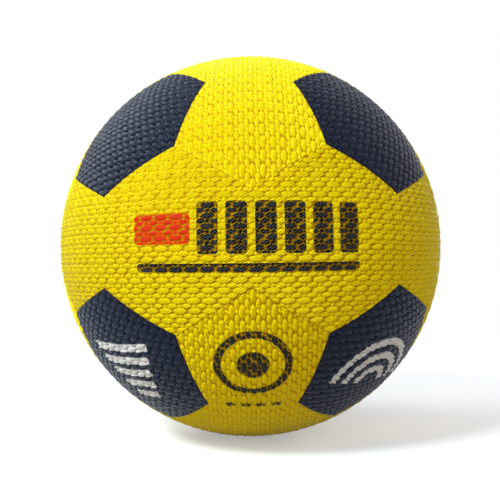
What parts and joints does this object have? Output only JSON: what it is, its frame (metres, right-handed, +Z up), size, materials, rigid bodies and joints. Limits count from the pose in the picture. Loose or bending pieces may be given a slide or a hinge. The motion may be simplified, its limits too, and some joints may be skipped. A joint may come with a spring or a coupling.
{
  "type": "handball",
  "caption": "Inflated rubber handball with a knit-textured cover of yellow strips and navy hexagons, and a needle valve with a removable core.",
  "frame": {"origin": "centre of the ball", "axes": "+Z up; the face in the picture looks towards -Y, +X is to its right; +Y runs out of the valve at the back"},
  "size_m": [0.175, 0.1749, 0.175],
  "materials": {
    "yellow_cover": "moulded knit relief, semi-gloss",
    "navy_cover": "moulded knit relief, semi-gloss",
    "carcass_rubber": "matt",
    "nylon_thread": "wound thread, rubber coated",
    "butyl_rubber": "smooth",
    "patch_rubber": "matt",
    "valve_rubber": "smooth moulded",
    "core_rubber": "smooth moulded, lightly oiled"
  },
  "bodies": {
    "ball": {"strip_front": "yellow_cover", "strip_back": "yellow_cover", "strip_top": "yellow_cover", "strip_bottom": "yellow_cover", "strip_left": "yellow_cover", "strip_right": "yellow_cover", "hexagon_front_upper_left": "navy_cover", "hexagon_front_upper_right": "navy_cover", "hexagon_front_lower_left": "navy_cover", "hexagon_front_lower_right": "navy_cover", "hexagon_back_upper_left": "navy_cover", "hexagon_back_upper_right": "navy_cover", "hexagon_back_lower_left": "navy_cover", "hexagon_back_lower_right": "navy_cover", "rubber_carcass": "carcass_rubber", "nylon_winding": "nylon_thread", "butyl_bladder": "butyl_rubber", "valve_patch": "patch_rubber", "valve_housing": "valve_rubber"},
    "core": {"valve_core": "core_rubber"}
  },
  "joints": [
    {"name": "valve_core_pull", "type": "slide", "parent": "ball", "child": "core", "axis": [0, 1, 0], "range_m": [0, 0.022]}
  ]
}
